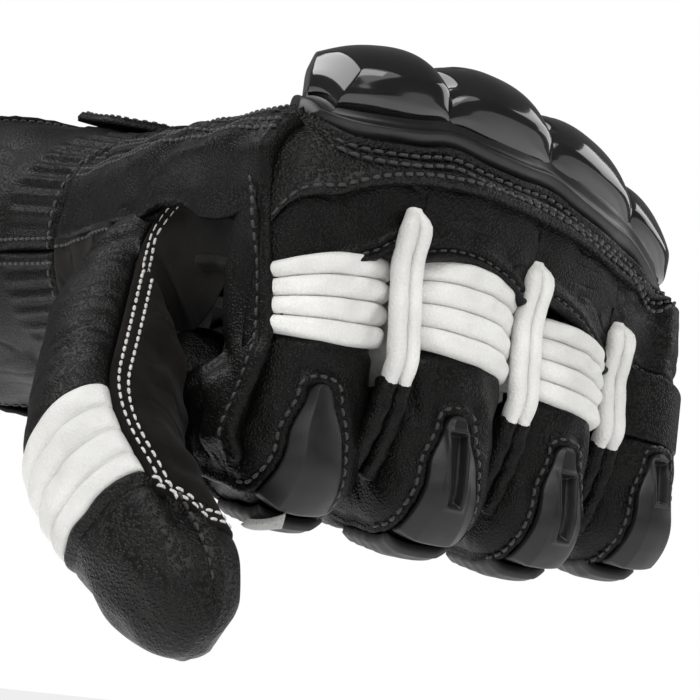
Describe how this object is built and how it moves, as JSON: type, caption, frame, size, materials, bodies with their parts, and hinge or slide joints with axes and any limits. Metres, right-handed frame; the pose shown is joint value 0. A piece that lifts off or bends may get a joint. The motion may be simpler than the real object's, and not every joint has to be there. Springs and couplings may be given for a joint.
{
  "type": "motorcycle riding glove",
  "caption": "Left motorcycle glove in a fist: leather shell, domed knuckle guard, ribbed stretch panels, hard finger sliders, hinged finger and thumb segments, wrist strap and cuff flap.",
  "frame": {"origin": "centre of the cuff's mouth, in the plane of its rim", "axes": "+Y along the forearm, out of the cuff's mouth; +Z out of the back of the hand; +X from the index finger to the little finger"},
  "size_m": [0.1308, 0.1689, 0.1158],
  "materials": {
    "black_leather": "grained black cowhide",
    "white_leather": "smooth white cowhide",
    "palm_suede": "napped black suede",
    "gloss_shell": "polished black",
    "soft_frame": "satin black",
    "moulded_slider": "matte black",
    "foam": "foam padding",
    "lining": "knitted lining",
    "hook_tape": "hook-and-loop tape"
  },
  "bodies": {
    "hand": {"back_leather": "black_leather", "inner_side_leather": "black_leather", "outer_side_leather": "black_leather", "palm_leather": "palm_suede", "palm_patch": "palm_suede", "cuff_back": "black_leather", "cuff_palm": "black_leather", "cuff_lining": "lining", "cuff_binding": "black_leather", "knuckle_frame": "soft_frame", "knuckle_shell": "gloss_shell", "knuckle_padding": "foam", "knuckle_band": "black_leather", "wrist_hook_tape": "hook_tape", "cuff_hook_tape": "hook_tape", "web_gusset": "palm_suede", "thumb_base_leather": "black_leather"},
    "wrist_strap": {"wrist_strap": "black_leather"},
    "cuff_flap": {"cuff_flap": "black_leather"},
    "index_proximal": {"index_accordion": "white_leather", "index_front_leather": "black_leather", "index_slider": "moulded_slider", "index_outer_wall": "white_leather", "index_inner_wall": "black_leather", "index_palm_leather": "black_leather", "index_knuckle_leather": "black_leather"},
    "index_middle": {"index_middle_leather": "black_leather"},
    "index_end": {"index_tip": "black_leather"},
    "middle_proximal": {"middle_accordion": "white_leather", "middle_front_leather": "black_leather", "middle_slider": "moulded_slider", "middle_outer_wall": "white_leather", "middle_inner_wall": "white_leather", "middle_palm_leather": "black_leather", "middle_knuckle_leather": "black_leather"},
    "middle_middle": {"middle_middle_leather": "black_leather"},
    "middle_end": {"middle_tip": "black_leather"},
    "ring_proximal": {"ring_accordion": "white_leather", "ring_front_leather": "black_leather", "ring_slider": "moulded_slider", "ring_outer_wall": "white_leather", "ring_inner_wall": "white_leather", "ring_palm_leather": "black_leather", "ring_knuckle_leather": "black_leather"},
    "ring_middle": {"ring_middle_leather": "black_leather"},
    "ring_end": {"ring_tip": "black_leather"},
    "little_proximal": {"little_accordion": "black_leather", "little_front_leather": "black_leather", "little_slider": "moulded_slider", "little_outer_wall": "black_leather", "little_inner_wall": "black_leather", "little_palm_leather": "black_leather", "little_knuckle_leather": "black_leather"},
    "little_middle": {"little_middle_leather": "black_leather"},
    "little_end": {"little_tip": "black_leather"},
    "thumb_proximal": {"thumb_back_leather": "black_leather", "thumb_palm_panel": "palm_suede", "thumb_accordion": "white_leather"},
    "thumb_end": {"thumb_tip": "black_leather"}
  },
  "joints": [
    {"name": "index_knuckle", "type": "hinge", "parent": "hand", "child": "index_proximal", "pos_m": [-0.0378, -0.149, 0], "axis": [1, 0, 0], "range_deg": [-85, 0], "deforming": ["index_accordion"]},
    {"name": "index_middle_joint", "type": "hinge", "parent": "index_proximal", "child": "index_middle", "pos_m": [-0.0378, -0.1506, -0.04597], "axis": [1, 0, 0], "range_deg": [-92, 0], "deforming": ["index_knuckle_leather"]},
    {"name": "index_end_joint", "type": "hinge", "parent": "index_middle", "child": "index_end", "pos_m": [-0.0378, -0.12599, -0.04163], "axis": [1, 0, 0], "range_deg": [-54, 0]},
    {"name": "middle_knuckle", "type": "hinge", "parent": "hand", "child": "middle_proximal", "pos_m": [-0.0116, -0.15, 0.001], "axis": [1, 0, 0], "range_deg": [-85, 0], "deforming": ["middle_accordion"]},
    {"name": "middle_middle_joint", "type": "hinge", "parent": "middle_proximal", "child": "middle_middle", "pos_m": [-0.0116, -0.15168, -0.04697], "axis": [1, 0, 0], "range_deg": [-92, 0], "deforming": ["middle_knuckle_leather"]},
    {"name": "middle_end_joint", "type": "hinge", "parent": "middle_middle", "child": "middle_end", "pos_m": [-0.0116, -0.1241, -0.04211], "axis": [1, 0, 0], "range_deg": [-54, 0]},
    {"name": "ring_knuckle", "type": "hinge", "parent": "hand", "child": "ring_proximal", "pos_m": [0.0147, -0.146, -0.003], "axis": [1, 0, 0], "range_deg": [-85, 0], "deforming": ["ring_accordion"]},
    {"name": "ring_middle_joint", "type": "hinge", "parent": "ring_proximal", "child": "ring_middle", "pos_m": [0.0147, -0.14757, -0.04797], "axis": [1, 0, 0], "range_deg": [-92, 0], "deforming": ["ring_knuckle_leather"]},
    {"name": "ring_end_joint", "type": "hinge", "parent": "ring_middle", "child": "ring_end", "pos_m": [0.0147, -0.12098, -0.04328], "axis": [1, 0, 0], "range_deg": [-54, 0]},
    {"name": "little_knuckle", "type": "hinge", "parent": "hand", "child": "little_proximal", "pos_m": [0.0394, -0.139, -0.009], "axis": [1, 0, 0], "range_deg": [-85, 0], "deforming": ["little_accordion"]},
    {"name": "little_middle_joint", "type": "hinge", "parent": "little_proximal", "child": "little_middle", "pos_m": [0.0394, -0.14026, -0.04498], "axis": [1, 0, 0], "range_deg": [-92, 0], "deforming": ["little_knuckle_leather"]},
    {"name": "little_end_joint", "type": "hinge", "parent": "little_middle", "child": "little_end", "pos_m": [0.0394, -0.11958, -0.04133], "axis": [1, 0, 0], "range_deg": [-54, 0]},
    {"name": "thumb_knuckle", "type": "hinge", "parent": "hand", "child": "thumb_proximal", "pos_m": [-0.0503, -0.1112, -0.0241], "axis": [-0.0235, -0.7023, 0.7115], "range_deg": [-22, 0], "deforming": ["web_gusset"]},
    {"name": "thumb_end_joint", "type": "hinge", "parent": "thumb_proximal", "child": "thumb_end", "pos_m": [-0.0665, -0.137, -0.0501], "axis": [-0.0235, -0.7023, 0.7115], "range_deg": [-42, 0], "deforming": ["thumb_accordion"]},
    {"name": "wrist_strap_hinge", "type": "hinge", "parent": "hand", "child": "wrist_strap", "pos_m": [0.00888, -0.0515, -0.02868], "axis": [0.0079, 0.9986, -0.0519], "range_deg": [0, 95]},
    {"name": "cuff_flap_hinge", "type": "hinge", "parent": "hand", "child": "cuff_flap", "pos_m": [0.02253, -0.0225, -0.02734], "axis": [0.0802, 0.9917, -0.1005], "range_deg": [0, 90]}
  ]
}
